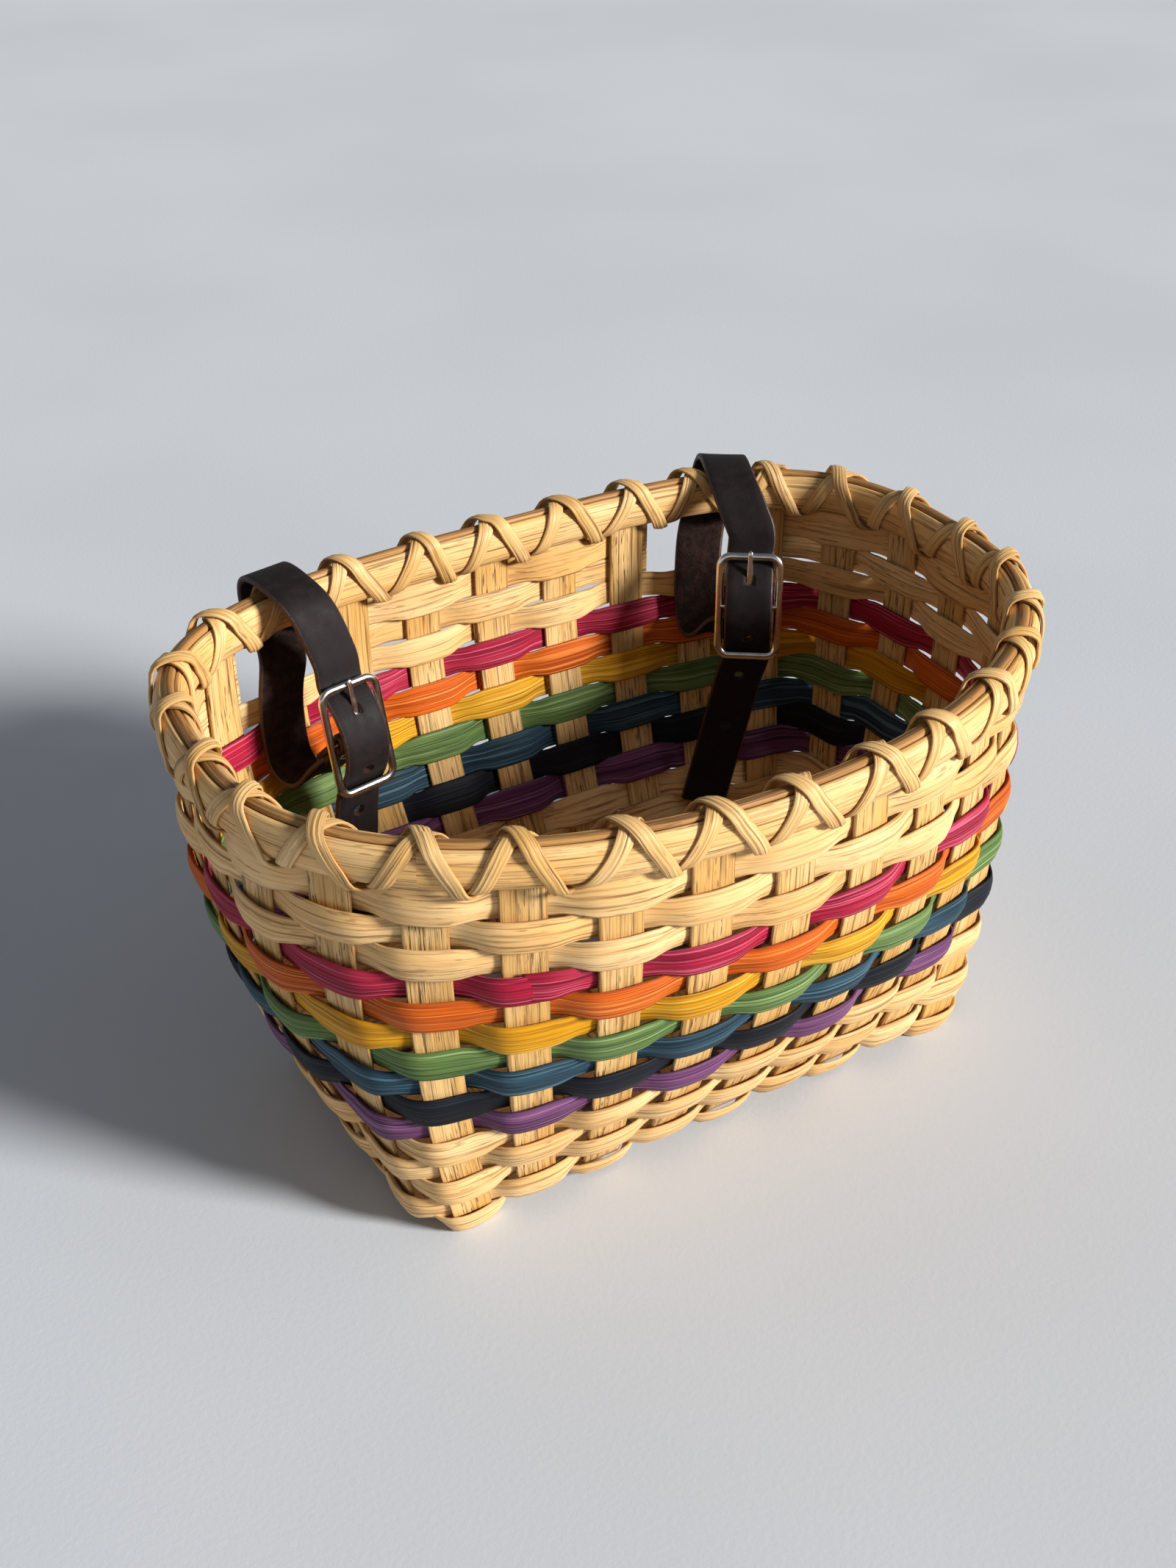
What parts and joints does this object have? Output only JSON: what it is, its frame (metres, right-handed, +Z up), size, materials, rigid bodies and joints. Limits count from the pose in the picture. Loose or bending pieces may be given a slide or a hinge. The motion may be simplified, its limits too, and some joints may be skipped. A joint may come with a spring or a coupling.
{
  "type": "bicycle basket",
  "caption": "Oval basket woven from flat reed with dyed rainbow rows, a lashed rim and buckled leather straps that hang it on a handlebar.",
  "frame": {"origin": "on the floor under the middle of the rim", "axes": "+X along the basket's length, +Y to the back wall that carries the straps, +Z up"},
  "size_m": [0.3464, 0.2434, 0.2011],
  "materials": {
    "reed_natural": "bare split reed, honey-tan with dark lengthwise grain, satin",
    "reed_filler": "bare brown round reed, satin",
    "reed_lashing": "narrow bare reed with a rounded face and lengthwise split lines, satin",
    "reed_plum": "dyed reed, streaky plum",
    "reed_navy": "dyed reed, streaky navy",
    "reed_teal": "dyed reed, streaky teal",
    "reed_green": "dyed reed, streaky green",
    "reed_yellow": "dyed reed, streaky yellow",
    "reed_orange": "dyed reed, streaky orange",
    "reed_raspberry": "dyed reed, streaky raspberry",
    "dark_leather": "near-black brown leather, satin outside, rough brown flesh side inside the loops",
    "nickel": "polished nickel plate"
  },
  "bodies": {
    "basket": {"cross_stake_1": "reed_natural", "cross_stake_2": "reed_natural", "cross_stake_3": "reed_natural", "cross_stake_4": "reed_natural", "cross_stake_5": "reed_natural", "cross_stake_6": "reed_natural", "cross_stake_7": "reed_natural", "cross_stake_8": "reed_natural", "cross_stake_9": "reed_natural", "long_stake_1": "reed_natural", "long_stake_2": "reed_natural", "long_stake_3": "reed_natural", "long_stake_4": "reed_natural", "long_stake_5": "reed_natural", "weaver_01_natural": "reed_natural", "weaver_02_natural": "reed_natural", "weaver_03_natural": "reed_natural", "weaver_04_natural": "reed_natural", "weaver_05_natural": "reed_natural", "weaver_06_plum": "reed_plum", "weaver_07_navy": "reed_navy", "weaver_08_teal": "reed_teal", "weaver_09_green": "reed_green", "weaver_10_yellow": "reed_yellow", "weaver_11_orange": "reed_orange", "weaver_12_raspberry": "reed_raspberry", "weaver_13_natural": "reed_natural", "weaver_14_natural_front": "reed_natural", "weaver_14_natural_back": "reed_natural", "weaver_15_natural_front": "reed_natural", "weaver_15_natural_back": "reed_natural", "outer_rim": "reed_natural", "inner_rim": "reed_natural", "rim_filler": "reed_filler", "lashing_right": "reed_lashing", "lashing_left": "reed_lashing"},
    "right_strap": {"right_strap": "dark_leather", "right_rivet": "nickel"},
    "right_tail": {"right_strap_tail": "dark_leather"},
    "right_buckle": {"right_buckle_frame": "nickel"},
    "right_tongue": {"right_buckle_tongue": "nickel"},
    "left_strap": {"left_strap": "dark_leather", "left_rivet": "nickel"},
    "left_tail": {"left_strap_tail": "dark_leather"},
    "left_buckle": {"left_buckle_frame": "nickel"},
    "left_tongue": {"left_buckle_tongue": "nickel"}
  },
  "joints": [
    {"name": "right_strap_swing", "type": "hinge", "parent": "basket", "child": "right_strap", "pos_m": [0.10667, 0.10166, 0.1837], "axis": [-0.822, 0.5695, 0], "range_deg": [0, 90]},
    {"name": "right_tail_flex", "type": "hinge", "parent": "right_strap", "child": "right_tail", "pos_m": [0.09619, 0.05985, 0.12681], "axis": [-0.822, 0.5695, 0], "range_deg": [0, 45], "stiffness_Nm_per_rad": 0.01},
    {"name": "right_buckle_rock", "type": "hinge", "parent": "right_strap", "child": "right_buckle", "pos_m": [0.09638, 0.06013, 0.1497], "axis": [0.822, -0.5695, 0], "range_deg": [-2, 2]},
    {"name": "right_tongue_lift", "type": "hinge", "parent": "right_buckle", "child": "right_tongue", "pos_m": [0.09638, 0.06013, 0.1497], "axis": [0.822, -0.5695, 0], "range_deg": [0, 2.5]},
    {"name": "left_strap_swing", "type": "hinge", "parent": "basket", "child": "left_strap", "pos_m": [-0.08863, 0.10605, 0.1837], "axis": [-0.9859, -0.1671, 0], "range_deg": [0, 90]},
    {"name": "left_tail_flex", "type": "hinge", "parent": "left_strap", "child": "left_tail", "pos_m": [-0.08317, 0.06606, 0.1173], "axis": [-0.9859, -0.1671, 0], "range_deg": [0, 45], "stiffness_Nm_per_rad": 0.01},
    {"name": "left_buckle_rock", "type": "hinge", "parent": "left_strap", "child": "left_buckle", "pos_m": [-0.08322, 0.06639, 0.1402], "axis": [0.9859, 0.1671, 0], "range_deg": [-2, 2]},
    {"name": "left_tongue_lift", "type": "hinge", "parent": "left_buckle", "child": "left_tongue", "pos_m": [-0.08322, 0.06639, 0.1402], "axis": [0.9859, 0.1671, 0], "range_deg": [0, 2.5]}
  ]
}
